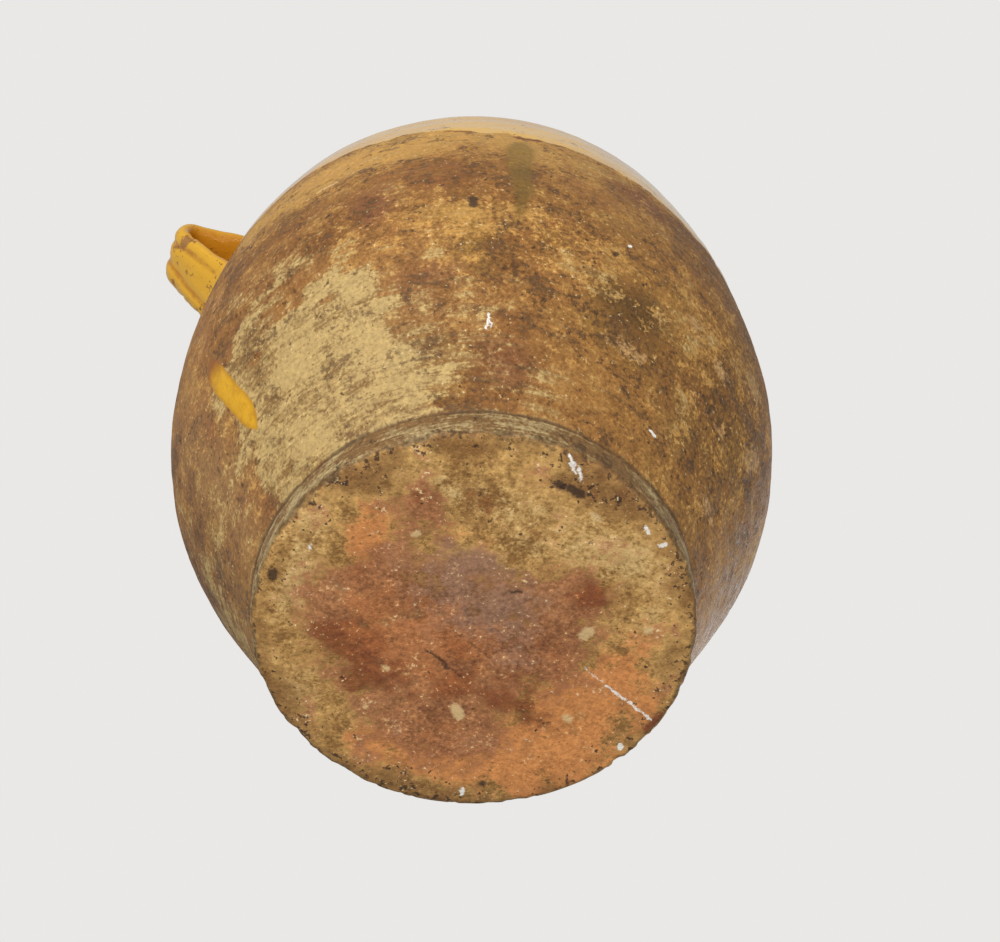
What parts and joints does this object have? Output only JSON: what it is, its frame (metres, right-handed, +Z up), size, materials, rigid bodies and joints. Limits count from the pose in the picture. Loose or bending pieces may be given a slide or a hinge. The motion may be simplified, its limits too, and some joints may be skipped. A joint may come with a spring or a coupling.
{
  "type": "confit pot",
  "caption": "Thrown earthenware confit pot: swelling round body on a narrow flat foot, short pinched neck, rolled rim and grooved strap handles from shoulder to neck.",
  "frame": {"origin": "centre of the flat underside of the foot", "axes": "+Z up along the pot's axis, +X and -X through the handles"},
  "size_m": [0.2954, 0.26, 0.286],
  "materials": {
    "earthenware": "semi-matt fired clay, with a glossy mustard lead glaze over the shoulder, neck, handles and inside"
  },
  "bodies": {
    "root": {"pot": "earthenware"}
  },
  "joints": []
}
